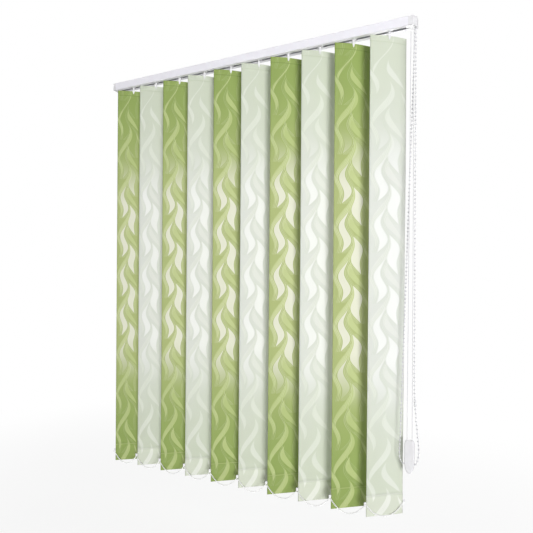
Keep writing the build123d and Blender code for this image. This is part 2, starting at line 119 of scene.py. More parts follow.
class ChainSettings(bpy.types.PropertyGroup):
    """Sizes of the chains and the cord, and the blind's whites."""
    bead: bpy.props.FloatProperty(name="Bead", description="Control chain bead", default=0.0060, unit="LENGTH")
    bead_pitch: bpy.props.FloatProperty(
        name="Bead pitch", description="Bead to bead along the control chain", default=0.0125, unit="LENGTH")
    link: bpy.props.FloatProperty(
        name="Link", description="Length of the connector in the control chain", default=0.026, unit="LENGTH")
    ball: bpy.props.FloatProperty(name="Ball", description="Bottom chain ball", default=0.0046, unit="LENGTH")
    ball_pitch: bpy.props.FloatProperty(
        name="Ball pitch", description="Ball to ball along a bottom chain", default=0.0054, unit="LENGTH")
    cord: bpy.props.FloatProperty(name="Cord", description="Traverse cord diameter", default=0.0018, unit="LENGTH")
    white: bpy.props.FloatVectorProperty(
        name="White", description="White of the mouldings", default=(0.69, 0.685, 0.705), subtype="COLOR")
    chalk: bpy.props.FloatVectorProperty(
        name="Chalk", description="Brighter white of the bottom chains", default=(0.84, 0.84, 0.84), subtype="COLOR")
    strand: bpy.props.FloatVectorProperty(
        name="Strand", description="Greyer white of control chain and cord", default=(0.62, 0.62, 0.64),
        subtype="COLOR")
    enamel: bpy.props.FloatVectorProperty(
        name="Enamel", description="White of the head rail", default=(0.76, 0.75, 0.80), subtype="COLOR")


class Nodes:
    """Short words for building a node tree."""

    def __init__(self, name):
        self.material = bpy.data.materials.new(name)
        self.material.use_nodes = True
        self.tree = self.material.node_tree
        self.shader = self.tree.nodes["Principled BSDF"]

    def put(self, value, socket):
        """A number goes on the socket, an output is linked to it."""
        if isinstance(value, bpy.types.NodeSocket):
            self.tree.links.new(value, socket)
        else:
            socket.default_value = value

    def node(self, kind, **settings):
        """A new node with its settings."""
        made = self.tree.nodes.new(kind)
        for key, value in settings.items():
            setattr(made, key, value)
        return made

    def math(self, operation, first, second=0.0):
        """One sum on one or two values."""
        made = self.node("ShaderNodeMath", operation=operation)
        self.put(first, made.inputs[0])
        self.put(second, made.inputs[1])
        return made.outputs[0]

    def ramp(self, value, low, high, start=0.0, finish=1.0):
        """A smooth step from start to finish as value goes from low to high."""
        made = self.node("ShaderNodeMapRange", interpolation_type="SMOOTHSTEP")
        for place, item in enumerate((value, low, high, start, finish)):
            self.put(item, made.inputs[place])
        return made.outputs[0]

    def mix(self, share, first, second):
        """Colours mixed by a share."""
        made = self.node("ShaderNodeMix", data_type="RGBA")
        self.put(share, made.inputs[0])
        self.put(first, made.inputs[6])
        self.put(second, made.inputs[7])
        return made.outputs[2]

    def noise(self, place, scale, detail=2.0):
        """Grey noise at a scale."""
        made = self.node("ShaderNodeTexNoise")
        self.put(place, made.inputs["Vector"])
        made.inputs["Scale"].default_value = scale
        made.inputs["Detail"].default_value = detail
        return made.outputs["Fac"]

    def bump(self, height, distance, strength):
        """Relief on the shader's normal."""
        made = self.node("ShaderNodeBump")
        made.inputs["Distance"].default_value = distance
        made.inputs["Strength"].default_value = strength
        self.put(height, made.inputs["Height"])
        self.put(made.outputs[0], self.shader.inputs["Normal"])


def colour(values):
    """A colour with full alpha."""
    return (*values, 1.0)


# Each column of the pattern, in shares of the vane's width and of the repeat: centre, swing, turn of the swing in half
# turns, where the swing peaks, drift, half width, where the tip stands, span, how low the leaf is widest
LEAF_SHARES = (
    (0.315, 0.085, 2.75, 0.02, -0.045, 0.128, 0.335, 0.92, 1.45),
    (0.682, 0.045, 2.86, 0.30, 0.085, 0.152, 0.890, 0.80, 1.00),
    (1.315, 0.085, 2.75, 0.02, -0.045, 0.128, 0.335, 0.92, 1.45),
)
RIBBON_SHARES = (
    (0.060, 0.140, 1.20, 0.80, 0.000, 0.062, 0.53, 0.64, 1.15),
    (0.345, 0.260, 1.32, 0.22, 0.000, 0.098, 0.86, 0.90, 1.15),
    (0.750, -0.275, 1.00, 0.25, 0.000, 0.095, 0.38, 0.64, 1.15),
    (0.990, 0.140, 1.20, 0.80, 0.000, 0.060, 0.03, 0.64, 1.15),
)
# Fine lines that run beside the leaves: how far off, and how strong
LINE_SHARES = ((0.034, 0.55), (0.078, 0.45), (0.120, 0.30))
# Distances from its middle at which a line, and a seam's stitching, fades in; and how strong the stitching is
LINE_EDGE = (0.011, 0.005)
STITCH_EDGE = (0.011, 0.003)
STITCH_STRENGTH = 0.65
# Soft edge of the leaves and ribbons, and a distance farther off than any of them
FIGURE_EDGE = 0.014
FAR_OFF = 9.0
# The ribbons start slim under the top hem: from and to which height, in repeats, and their share of width there
SLIM_ZONE = (0.45, 0.75, 0.28, 1.18)
# The middle of the figure, in repeats, and how far from it the leaves shine, the ground pales and the lines are clear
MIDDLE_REPEAT = 4.6
LEAF_ZONE = (3.0, 1.6)
GROUND_ZONE = (4.4, 1.4)
LINE_ZONE = (4.0, 2.0, 0.35, 1.0)
# Light that passes the green cloth, the pale cloth and the bottom hem with its weight, and half the step at the hem
GREEN_SHEER = 0.15
PALE_SHEER = 0.40
HEM_SHEER = 0.15
HEM_STEP = 0.01
# Share of its tones that each cloth throws back
GREEN_GAIN = 0.87
PALE_GAIN = 0.91
# Grain and weft of the weave: how fine, how far the grain tints the cloth, and the relief of weft, leaf and grain
GRAIN_SCALE = 900.0
GRAIN_TINT = (0.3, 0.7, 0.0, 0.06)
WEFT_SCALE = 420.0
WEFT_RELIEF = 0.35
LEAF_RELIEF = 0.8
GRAIN_RELIEF = 0.4
WEAVE_DEPTH = 0.0003
WEAVE_STRENGTH = 0.25
# Roughness of the ground and of the silkier leaves, and the cloth's gloss
CLOTH_ROUGHNESS = (0.75, 0.55)
CLOTH_GLOSS = 0.25


def leaf_distance(n, across, height, shares, weight=1.0):
    """How far a point is from a column of S-curved leaves: below 0 inside.

    Down a leaf, t runs 0 to 1 from its tip to its foot, over a span of each repeat. Its middle line swings as a cosine
    of t and drifts as the cube of the way from its middle. Its half width is a sine of a power of t, widest at or below
    the middle, so the leaf comes to a point at both ends. A weight makes it slimmer or wider.
    """
    centre, swing, turn, peak, drift, half, tip, span, low = shares
    local = n.math("FRACT", n.math("SUBTRACT", height, tip))
    t = n.math("MINIMUM", n.math("DIVIDE", local, span), 1.0)
    swung = n.math("COSINE", n.math("MULTIPLY", n.math("SUBTRACT", t, peak), turn * pi))
    line = n.math("ADD", n.math("MULTIPLY", swung, swing), centre)
    way = n.math("MULTIPLY", n.math("SUBTRACT", t, 0.5), 2.0)
    line = n.math("ADD", line, n.math("MULTIPLY", n.math("POWER", way, 3.0), drift))
    wide = n.math("SINE", n.math("MULTIPLY", n.math("POWER", t, low), pi))
    off = n.math("ABSOLUTE", n.math("SUBTRACT", across, line))
    past = n.math("GREATER_THAN", local, span)
    reach = n.math("MULTIPLY", n.math("MULTIPLY", wide, half), weight)
    return n.math("ADD", n.math("SUBTRACT", off, reach), past)


def screen_colour(red, green, blue):
    """A colour given by its 0 to 255 screen values, as a linear colour."""
    share = np.array([red, green, blue]) / 255.0
    linear = np.where(share <= 0.04045, share / 12.92, ((share + 0.055) / 1.055) ** 2.4)
    return (*linear.tolist(), 1.0)


# Ground, leaf and ribbon of each cloth, first near the vane's ends, then at its middle; its line work; and the light
# that comes through it. The leaves fade out towards the ends, so their first tone is only the top seam's stitching. The
# bottom seam has the ribbons' first tone.
GREEN_TONES = (
    (screen_colour(148, 167, 95), screen_colour(177, 187, 126)),
    (screen_colour(124, 144, 77), screen_colour(229, 228, 211)),
    (screen_colour(184, 197, 133), screen_colour(195, 204, 148)),
    screen_colour(226, 228, 200),
    screen_colour(150, 185, 85),
)
PALE_TONES = (
    (screen_colour(213, 218, 202), screen_colour(227, 228, 225)),
    (screen_colour(193, 202, 177), screen_colour(250, 249, 250)),
    (screen_colour(234, 236, 228), screen_colour(236, 236, 233)),
    screen_colour(206, 215, 194),
    screen_colour(223, 227, 221),
)


BRIGHTEST = 0.95


def dimmed(tone, share):
    """A colour with its light scaled, short of full white."""
    return (*(min(part * share, BRIGHTEST) for part in tone[:3]), 1.0)


def cloth_material(name, tones, seams, sheer, gain):
    """Figured cloth: columns of leaves, ribbons and fine lines beside them, a woven relief and light coming through."""
    n = Nodes(name)
    grounds, leaf_tones, ribbon_tones = ([dimmed(tone, gain) for tone in pair] for pair in tones[:3])
    line_tone = dimmed(tones[3], gain)
    uv = n.node("ShaderNodeUVMap", uv_map="cloth")
    parts = n.node("ShaderNodeSeparateXYZ")
    n.put(uv.outputs[0], parts.inputs[0])
    across, height = parts.outputs[0], parts.outputs[1]
    leaf, ribbon = FAR_OFF, FAR_OFF
    for shares in LEAF_SHARES:
        leaf = n.math("MINIMUM", leaf, leaf_distance(n, across, height, shares))
    slim = n.ramp(height, *SLIM_ZONE)
    for shares in RIBBON_SHARES:
        ribbon = n.math("MINIMUM", ribbon, leaf_distance(n, across, height, shares, slim))
    from_middle = n.math("ABSOLUTE", n.math("SUBTRACT", height, MIDDLE_REPEAT))
    bright = n.ramp(from_middle, *LEAF_ZONE)
    in_leaf = n.math("MULTIPLY", n.ramp(leaf, 0.0, -FIGURE_EDGE), bright)
    base = n.mix(n.ramp(from_middle, *GROUND_ZONE), *grounds)
    base = n.mix(n.ramp(ribbon, 0.0, -FIGURE_EDGE), base, n.mix(bright, *ribbon_tones))
    base = n.mix(in_leaf, base, leaf_tones[1])
    clear = n.ramp(from_middle, *LINE_ZONE)
    for gap, strength in LINE_SHARES:
        line = n.ramp(n.math("ABSOLUTE", n.math("SUBTRACT", leaf, gap)), *LINE_EDGE, 0.0, strength)
        base = n.mix(n.math("MULTIPLY", line, clear), base, line_tone)
    for seam, seam_tone in zip(seams, (leaf_tones[0], ribbon_tones[0])):
        stitch = n.ramp(n.math("ABSOLUTE", n.math("SUBTRACT", height, seam)), *STITCH_EDGE, 0.0, STITCH_STRENGTH)
        base = n.mix(stitch, base, seam_tone)
    place = n.node("ShaderNodeTexCoord").outputs["Object"]
    grain = n.noise(place, GRAIN_SCALE)
    n.put(n.mix(n.ramp(grain, *GRAIN_TINT), base, grounds[0]), n.shader.inputs["Base Color"])
    weft = n.node("ShaderNodeTexWave", bands_direction="Z")
    n.put(place, weft.inputs["Vector"])
    weft.inputs["Scale"].default_value = WEFT_SCALE
    relief = n.math("ADD", n.math("MULTIPLY", weft.outputs["Fac"], WEFT_RELIEF),
                    n.math("MULTIPLY", in_leaf, LEAF_RELIEF))
    n.bump(n.math("ADD", relief, n.math("MULTIPLY", grain, GRAIN_RELIEF)), WEAVE_DEPTH, WEAVE_STRENGTH)
    n.put(n.ramp(in_leaf, 0.0, 1.0, *CLOTH_ROUGHNESS), n.shader.inputs["Roughness"])
    n.shader.inputs["Specular IOR Level"].default_value = CLOTH_GLOSS
    through = n.node("ShaderNodeBsdfTranslucent")
    through.inputs["Color"].default_value = tones[4]
    mixer = n.node("ShaderNodeMixShader")
    n.put(n.ramp(height, seams[1] - HEM_STEP, seams[1] + HEM_STEP, sheer, HEM_SHEER), mixer.inputs[0])
    n.put(n.shader.outputs[0], mixer.inputs[1])
    n.put(through.outputs[0], mixer.inputs[2])
    n.put(mixer.outputs[0], n.tree.nodes["Material Output"].inputs["Surface"])
    return n.material


# Mouldings and enamel: how fine the clouds are, the ranges over which they tint and dull, and how far they dull
CLOUD_SCALE = 35.0
CLOUD_TINT = (0.35, 0.75)
CLOUD_DULLING = (0.2, 0.8)
SHINIER = 0.05
DULLER = 0.08
# Their orange peel: how fine, how deep and how strong
PEEL_SCALE = 900.0
PEEL_DEPTH = 0.00005
PEEL_STRENGTH = 0.2
# Roughness of the balls, beads, enamel and mouldings, and how cloudy the enamel is
BALL_ROUGHNESS = 0.35
BEAD_ROUGHNESS = 0.30
ENAMEL_ROUGHNESS = 0.34
ENAMEL_CLOUDINESS = 0.015
MOULDING_ROUGHNESS = 0.38
# Drawn bar: how the lines are stretched along it, its two greys, and the ranges of the lines and of their roughness
ROD_STRETCH = (3.0, 900.0, 900.0)
ROD_GREYS = ((0.62, 0.63, 0.65), (0.75, 0.76, 0.78))
ROD_LINES = (0.2, 0.8)
ROD_ROUGHNESS = (0.28, 0.42)
# Braided cord: how fine the braid is, how dark the painted shade between its yarns is, how rough, and its relief
BRAID_SCALE = 260.0
BRAID_PAINTED_SHADE = 0.80
BRAID_ROUGHNESS = 0.7
BRAID_DEPTH = 0.0002
BRAID_STRENGTH = 0.4


def moulding_material(name, white, roughness, cloudiness=0.05):
    """White plastic or enamel: faint cloudiness in colour and gloss, and a fine orange-peel relief."""
    n = Nodes(name)
    place = n.node("ShaderNodeTexCoord").outputs["Object"]
    cloud = n.noise(place, CLOUD_SCALE)
    shade = tuple((1.0 - cloudiness) * part for part in white)
    n.put(n.mix(n.ramp(cloud, *CLOUD_TINT), colour(white), colour(shade)), n.shader.inputs["Base Color"])
    n.put(n.ramp(cloud, *CLOUD_DULLING, roughness - SHINIER, roughness + DULLER), n.shader.inputs["Roughness"])
    n.bump(n.noise(place, PEEL_SCALE), PEEL_DEPTH, PEEL_STRENGTH)
    return n.material


def rod_material():
    """Drawn aluminium with fine lines along the bar."""
    n = Nodes("drawn_aluminium")
    stretch = n.node("ShaderNodeMapping")
    stretch.inputs["Scale"].default_value = ROD_STRETCH
    n.put(n.node("ShaderNodeTexCoord").outputs["Object"], stretch.inputs["Vector"])
    lines = n.noise(stretch.outputs[0], 1.0)
    n.put(n.mix(lines, *(colour(grey) for grey in ROD_GREYS)), n.shader.inputs["Base Color"])
    n.put(n.ramp(lines, *ROD_LINES, *ROD_ROUGHNESS), n.shader.inputs["Roughness"])
    n.shader.inputs["Metallic"].default_value = 1.0
    return n.material


def cord_material(white):
    """Braided cord: diagonal yarns with painted shade between them, and a light relief."""
    n = Nodes("braided_cord")
    place = n.node("ShaderNodeTexCoord").outputs["Object"]
    braid = n.node("ShaderNodeTexWave", bands_direction="DIAGONAL")
    n.put(place, braid.inputs["Vector"])
    braid.inputs["Scale"].default_value = BRAID_SCALE
    # The yarns' colour darkens towards the grooves between them: painted shade.
    shade = tuple(BRAID_PAINTED_SHADE * part for part in white)
    n.put(n.mix(braid.outputs["Fac"], colour(white), colour(shade)), n.shader.inputs["Base Color"])
    n.shader.inputs["Roughness"].default_value = BRAID_ROUGHNESS
    n.bump(braid.outputs["Fac"], BRAID_DEPTH, BRAID_STRENGTH)
    return n.material


def add_mesh(name, points, faces, material, uv=None):
    """A smooth-shaded mesh object from whole arrays, with an optional UV for each point."""
    mesh = bpy.data.meshes.new(name)
    mesh.from_pydata(points.tolist(), [], faces.tolist())
    mesh.polygons.foreach_set("use_smooth", np.ones(len(mesh.polygons), dtype=bool))
    if uv is not None:
        corners = np.empty(len(mesh.loops), dtype=np.int32)
        mesh.loops.foreach_get("vertex_index", corners)
        layer = mesh.uv_layers.new(name="cloth")
        layer.data.foreach_set("uv", uv[corners].astype(np.float32).ravel())
    mesh.materials.append(material)
    made = bpy.data.objects.new(name, mesh)
    bpy.context.scene.collection.objects.link(made)
    return made


def ring_grid(rows, columns):
    """Quads of a grid that closes on itself along its columns."""
    row = np.arange(rows - 1)[:, None] * columns
    column = np.arange(columns)[None, :]
    after = (column + 1) % columns
    return np.stack([row + column, row + columns + column, row + columns + after, row + after], axis=-1).reshape(-1, 4)


# Half thickness at the rounded folds, as shares of the hem's, from the edge inwards
FOLD_SHARES = np.array([0.25, 0.7, 0.95])
# Rows of points down the top hem, the open cloth and the bottom hem, and points across a vane
TOP_HEM_ROWS = 5
CLOTH_ROWS = 120
BOTTOM_HEM_ROWS = 8
ACROSS_POINTS = 25
# Height over which the curl of the top corners fades; the ripple's height, its waves down a vane, the height over which
# it sets in and how far it shifts from vane to vane
CURL_FADE = 0.30
RIPPLE = 0.0010
RIPPLE_WAVES = 1.7
RIPPLE_START = 0.2
RIPPLE_SHIFT = 0.37


def vane_levels(settings, top, bottom):
    """Distances down a vane and its half thickness there: a rounded fold, a hem, one cloth, a hem, a fold."""
    cloth = settings.cloth / 2
    fold = settings.cloth
    length = top - bottom
    upper = settings.top_hem
    lower = length - settings.bottom_hem
    web = np.linspace(upper + 2 * fold, lower - 2 * fold, CLOTH_ROWS)
    down = np.concatenate([[0.0, fold / 3, fold], np.linspace(2 * fold, upper, TOP_HEM_ROWS), web,
                           np.linspace(lower, length - 2 * fold, BOTTOM_HEM_ROWS),
                           [length - fold, length - fold / 3, length]])
    half = np.concatenate([FOLD_SHARES * settings.top_hem_half, np.full(TOP_HEM_ROWS, settings.top_hem_half),
                           np.full(len(web), cloth), np.full(BOTTOM_HEM_ROWS, settings.bottom_hem_half),
                           FOLD_SHARES[::-1] * settings.bottom_hem_half])
    return down, half


def vane_points(settings, middle, top, bottom, turn, figure):
    """A vane as a closed sheet.

    Across, share runs -1 to 1 over the front and back again over the rear. The cloth bends back by share squared,
    most at the top corners, with a slow ripple down its length, and stands off its middle plane by half its thickness.
    The pattern's width is a share of the vane's, the figure.
    """
    down, half = vane_levels(settings, top, bottom)
    count = ACROSS_POINTS
    front = np.linspace(-1.0, 1.0, count)
    share = np.concatenate([front, front[::-1]])
    face = np.concatenate([-np.ones(count), np.ones(count)])
    length = top - bottom
    loose = np.clip((length - settings.bottom_hem - down) / length, 0.0, 1.0)
    curl = settings.curl * np.exp(-down / CURL_FADE) + settings.cup * loose
    wave = np.sin(2 * pi * (RIPPLE_WAVES * down / length + turn))
    ripple = RIPPLE * wave * loose * np.minimum(down / RIPPLE_START, 1.0)
    bend = curl[:, None] * share[None, :] ** 2 + ripple[:, None] * share[None, :]
    off = bend + face[None, :] * half[:, None]
    points = (np.array([middle[0], middle[1], top])
              + ALONG * (share * settings.width / 2)[None, :, None]
              + BACK * off[..., None]
              - np.array([0.0, 0.0, 1.0]) * down[:, None, None])
    uv = np.stack(np.broadcast_arrays((share[None, :] + 1) / (2 * figure), down[:, None] / settings.repeat),
                  axis=-1)
    rows, columns = off.shape
    column = np.arange(count - 1)
    cap = np.stack([column, column + 1, columns - 2 - column, columns - 1 - column], axis=-1)
    faces = np.concatenate([ring_grid(rows, columns), cap, (cap + (rows - 1) * columns)[:, ::-1]])
    return points.reshape(-1, 3), faces, uv.reshape(-1, 2)


# Points round and over a ball and a bead, round their threads, the clasp and a strand, and along the clasp and a strand
BALL_RINGS = (8, 6)
BEAD_RINGS = (10, 8)
BALL_THREAD_SIDES = 5
BEAD_THREAD_SIDES = 6
LINK_SIDES = 12
STRAND_SIDES = 8
LINK_STEPS = 21
STRAND_STEPS = 4
# A thread's radius goes this many times into its beads' diameter
THREAD_PART = 7
# Points for each stretch of a line, how close a ball's rings come to its poles, and a direction that no line runs in
LINE_STEPS = 24
POLE_ANGLE = 0.04
TUBE_SIDE = np.array([0.31, 0.93, 0.19])


def nurbs_lines(routes):
    """Points read from one smooth NURBS line for each route, whose points are its control points."""
    curve = bpy.data.curves.new("route", "CURVE")
    curve.dimensions = "3D"
    curve.resolution_u = LINE_STEPS
    for route in routes:
        spline = curve.splines.new("NURBS")
        spline.points.add(len(route) - 1)
        spline.points.foreach_set("co", np.column_stack([route, np.ones(len(route))]).ravel())
        spline.order_u = 3
        spline.use_endpoint_u = True
    carrier = bpy.data.objects.new("route", curve)
    bpy.context.scene.collection.objects.link(carrier)
    mesh = bpy.data.meshes.new_from_object(carrier)
    points = np.empty(3 * len(mesh.vertices))
    mesh.vertices.foreach_get("co", points)
    lines = np.split(points.reshape(-1, 3), len(routes))
    bpy.data.objects.remove(carrier)
    bpy.data.meshes.remove(mesh)
    return lines


def along_line(line, pitch):
    """Points evenly spaced along a line, about a pitch apart, and the line's length."""
    steps = np.linalg.norm(np.diff(line, axis=0), axis=1)
    travel = np.concatenate([[0.0], np.cumsum(steps)])
    count = max(int(round(travel[-1] / pitch)), 1)
    places = (np.arange(count) + 0.5) * travel[-1] / count
    return np.stack([np.interp(places, travel, line[:, axis]) for axis in range(3)], axis=-1), travel[-1]


def beads(centres, radius, around, over):
    """A ball at each centre: latitude and longitude circles of a sphere, with a tiny ring at each pole."""
    polar = np.linspace(POLE_ANGLE, pi - POLE_ANGLE, over)
    turn = np.arange(around) * 2 * pi / around
    ball = np.stack([np.sin(polar)[:, None] * np.cos(turn), np.sin(polar)[:, None] * np.sin(turn),
                     np.broadcast_to(np.cos(polar)[:, None], (over, around))], axis=-1).reshape(-1, 3) * radius
    grid = ring_grid(over, around)
    points = (centres[:, None, :] + ball[None, :, :]).reshape(-1, 3)
    faces = (grid[None, :, :] + (np.arange(len(centres)) * len(ball))[:, None, None]).reshape(-1, 4)
    return points, faces


def tube(line, radius, around):
    """A round profile, of one radius or one for each point, on a frame made from the tangent and a fixed direction."""
    tangent = np.gradient(line, axis=0)
    tangent /= np.linalg.norm(tangent, axis=1, keepdims=True)
    side = np.cross(tangent, TUBE_SIDE)
    side /= np.linalg.norm(side, axis=1, keepdims=True)
    other = np.cross(tangent, side)
    turn = np.arange(around) * 2 * pi / around
    ring = np.cos(turn)[None, :, None] * side[:, None, :] + np.sin(turn)[None, :, None] * other[:, None, :]
    reach = np.broadcast_to(radius, len(line))[:, None, None]
    return (line[:, None, :] + reach * ring).reshape(-1, 3), ring_grid(len(line), around)[:, ::-1]


def join(*shapes):
    """Several point and face arrays as one."""
    points = np.concatenate([shape[0] for shape in shapes])
    starts = np.cumsum([0] + [len(shape[0]) for shape in shapes[:-1]])
    faces = np.concatenate([shape[1] + start for shape, start in zip(shapes, starts)])
    return points, faces


# Bottom chains: control points of a swag as shares of its span and drop, and the clips they hang from
SWAG_SPAN_SHARES = np.array([0.0, 0.10, 0.26, 0.42, 0.58, 0.74, 0.90, 1.0])
SWAG_DROP_SHARES = np.array([0.0, 0.42, 0.83, 1.03, 1.03, 0.83, 0.42, 0.0])
SWAG_DROP = 0.035
CLIP_LEVEL = 0.042
CLIP_HALF_HEIGHT = 0.0055
CLIP_REACH = 0.0678
SWAG_RADIUS = 0.0014
SWAG_LANDING = 0.002
# The last swag stands off the hem it crosses
END_STAND_OFF = 0.004
END_HEM_HALF = 0.0018
END_GAP = 0.0001
# Control chain: where its ends meet in the weight, half their gap, how much higher they leave it, and where
JOIN_LEVEL = -1.412
JOIN_HALF = 0.0015
JOIN_RISE = 0.001
NEAR_JOIN = 0.6040
FAR_JOIN = 0.6380
# Along the rail and up: the near strand rising from its loop, and the far strand coming down to its own
NEAR_LOOP = ((0.5945, -1.402), (0.5905, -1.382), (0.5920, -1.345), (0.5935, -1.310))
FAR_LOOP = ((0.6360, -1.190), (0.6435, -1.285), (0.6505, -1.345), (0.6515, -1.378), (0.6465, -1.400))
FAR_TURN = (0.6345, -1.120)
FAR_TURN_SHIFT = 0.001
# The sprocket's running radius and top, and how far under the rail both strands hang straight and lean
SPROCKET_RADIUS = 0.006
SPROCKET_TOP = -0.005
STRAIGHT_DROP = 0.030
NEAR_LEAN = 0.0008
FAR_LEAN = 0.0003
# The clasp's level, and a distance that keeps it off the near strand
LINK_LEVEL = -1.213
OTHER_STRAND = 10.0
# The clasp's half width in beads, how narrow it ends, how deep and how long its waist is
LINK_HALF = 0.62
LINK_END = 0.0025
LINK_WAIST = 0.30
LINK_WAIST_SPAN = 0.22
# Both ends of each cord strand
STRAND_ENDS = {
    "inner_cord_strand": ((0.6161, -0.0157, -0.0290), (0.6145, -0.0020, -1.3490)),
    "outer_cord_strand": ((0.6241, -0.0083, -0.0290), (0.6305, -0.0020, -1.3490)),
}


def swag_route(start, finish, drop, bow):
    """The control points of one swag between two clips."""
    return (start + (finish - start) * SWAG_SPAN_SHARES[:, None]
            + (bow - np.array([0.0, 0.0, drop])) * SWAG_DROP_SHARES[:, None])


def clip_place(number, side):
    """The middle of a chain clip past one edge of a vane."""
    middle = node_middle(f"hook_{number}")
    bottom = vane_size()[1]
    return np.array([middle[0], 0.0, bottom + CLIP_LEVEL]) + side * CLIP_REACH * ALONG


class BLIND_OT_vanes(bpy.types.Operator):
    """Hangs the cloth vanes, alternately green and pale"""
    bl_idname = "blind.vanes"
    bl_label = "Vanes"

    def execute(self, context):
        """Each vane is a closed sheet that takes its node's place."""
        settings = context.scene.blind_cloth
        top, bottom = vane_size()
        seams = [settings.top_hem / settings.repeat, (top - bottom - settings.bottom_hem) / settings.repeat]
        cloths = [cloth_material("green_figured_cloth", GREEN_TONES, seams, GREEN_SHEER, GREEN_GAIN),
                  cloth_material("pale_figured_cloth", PALE_TONES, seams, PALE_SHEER, PALE_GAIN)]
        for place, number in enumerate(VANES):
            middle = node_middle(f"hook_{number}")
            figure = 1.0 - settings.narrowing * (len(VANES) - 1 - place)
            points, faces, uv = vane_points(settings, middle, top, bottom, RIPPLE_SHIFT * place, figure)
            vane = add_mesh(f"cloth_{number}", points, faces, cloths[place % 2], uv)
            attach(vane, f"vane_{number}")
            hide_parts(f"vane_{number}")
        return {"FINISHED"}


class BLIND_OT_bottom_chains(bpy.types.Operator):
    """Strings the ball chains between the clips of the bottom weights"""
    bl_idname = "blind.bottom_chains"
    bl_label = "Bottom chains"

    def execute(self, context):
        """Swags from clip to clip in front and behind, and one more across the last vane."""
        settings = context.scene.blind_chain
        white = moulding_material("ball_chain_white", settings.chalk, BALL_ROUGHNESS)
        foot = np.array([0.0, 0.0, CLIP_HALF_HEIGHT + SWAG_RADIUS])
        lean = np.array([SWAG_LANDING, 0.0, 0.0])
        level = np.zeros(3)
        for side, name in ((-1, "front"), (1, "back")):
            clips = [clip_place(number, side) for number in VANES]
            routes = [swag_route(near - foot + lean, far - foot - lean, SWAG_DROP, level)
                      for near, far in zip(clips, clips[1:])]
            chain = self.chain(f"ball_chain_{name}", routes, settings, white)
            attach(chain, f"{name}_chain")
            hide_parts(f"bottom_chain_{name}")
            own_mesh(chain)
        stand = BACK * -(END_HEM_HALF + SWAG_RADIUS + END_GAP)
        route = swag_route(clip_place("10", -1) + stand, clip_place("10", 1) + stand, CLIP_LEVEL,
                           BACK * -END_STAND_OFF)
        chain = self.chain("ball_chain_end", [route], settings, white)
        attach(chain, "vane_10")
        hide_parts("bottom_chain_end")
        return {"FINISHED"}

    def chain(self, name, routes, settings, white):
        """Balls on a thread along the routes, as one mesh."""
        lines = nurbs_lines(routes)
        shapes = []
        for line in lines:
            centres = along_line(line, settings.ball_pitch)[0]
            shapes.append(beads(centres, settings.ball / 2, *BALL_RINGS))
            shapes.append(tube(line, settings.ball / THREAD_PART, BALL_THREAD_SIDES))
        chain = add_mesh(name, *join(*shapes), white)
        return chain


class BLIND_OT_control_chain(bpy.types.Operator):
    """Hangs the bead chain over the sprocket and through the cord weight"""
    bl_idname = "blind.control_chain"
    bl_label = "Control chain"

    def execute(self, context):
        """Beads on a thread along the loop's route."""
        settings = context.scene.blind_chain
        white = moulding_material("bead_chain_white", settings.strand, BEAD_ROUGHNESS)
        weight = node_middle("cord_weight")
        rail_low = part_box("head_rail")[0][2]
        sprocket = node_middle("chain_sprocket")
        near_y, far_y = sprocket[1] - SPROCKET_RADIUS, sprocket[1] + SPROCKET_RADIUS
        x, y = weight[0], weight[1]
        route = np.array([
            (x - JOIN_HALF, y, JOIN_LEVEL), (NEAR_JOIN, y, JOIN_LEVEL + JOIN_RISE),
            *((along, y, level) for along, level in NEAR_LOOP),
            (sprocket[0] - NEAR_LEAN, near_y, rail_low - STRAIGHT_DROP),
            (sprocket[0], near_y, rail_low), (sprocket[0], near_y, SPROCKET_TOP),
            (sprocket[0], far_y, SPROCKET_TOP), (sprocket[0], far_y, rail_low),
            (sprocket[0] + FAR_LEAN, far_y, rail_low - STRAIGHT_DROP),
            (FAR_TURN[0], y + FAR_TURN_SHIFT, FAR_TURN[1]),
            *((along, y, level) for along, level in FAR_LOOP),
            (FAR_JOIN, y, JOIN_LEVEL + JOIN_RISE), (x + JOIN_HALF, y, JOIN_LEVEL),
        ])
        line = nurbs_lines([route])[0]
        centres, length = along_line(line, settings.bead_pitch)
        link = self.connector(line, settings)
        thread = tube(line, settings.bead / THREAD_PART, BEAD_THREAD_SIDES)
        shape = join(beads(centres, settings.bead / 2, *BEAD_RINGS), thread, link)
        chain = add_mesh("bead_chain", *shape, white)
        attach(chain, "rail")
        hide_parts("control_chain")
        return {"FINISHED"}

    def connector(self, line, settings):
        """The clasp that closes the loop: a capsule along the chain's far strand, waisted at its middle."""
        falling = np.arange(len(line)) > np.argmax(line[:, 2])
        nearest = np.argmin(np.abs(line[:, 2] - LINK_LEVEL) + np.where(falling, 0.0, OTHER_STRAND))
        along = line[nearest + 1] - line[nearest - 1]
        along /= np.linalg.norm(along)
        share = np.linspace(-1.0, 1.0, LINK_STEPS)
        spine = line[nearest] + along * (share * settings.link / 2)[:, None]
        waist = 1.0 - LINK_WAIST * np.exp(-(share / LINK_WAIST_SPAN) ** 2)
        swell = np.sqrt(np.clip(1.0 - share ** 4, LINK_END, None)) * waist
        return tube(spine, LINK_HALF * settings.bead * swell, LINK_SIDES)


class BLIND_OT_cords(bpy.types.Operator):
    """Hangs the two strands of the traverse cord"""
    bl_idname = "blind.cords"
    bl_label = "Traverse cord"

    def execute(self, context):
        """Each strand is pulled straight from the end cap to the cord weight."""
        settings = context.scene.blind_chain
        braid = cord_material(settings.strand)
        radius = settings.cord / 2
        for name, ends in STRAND_ENDS.items():
            top, foot = (np.array(end) for end in ends)
            route = top + (foot - top) * np.linspace(0.0, 1.0, STRAND_STEPS)[:, None]
            line = nurbs_lines([route])[0]
            strand = add_mesh(f"{name}_braid", *tube(line, radius, STRAND_SIDES), braid)
            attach(strand, "rail")
            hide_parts(name)
        return {"FINISHED"}


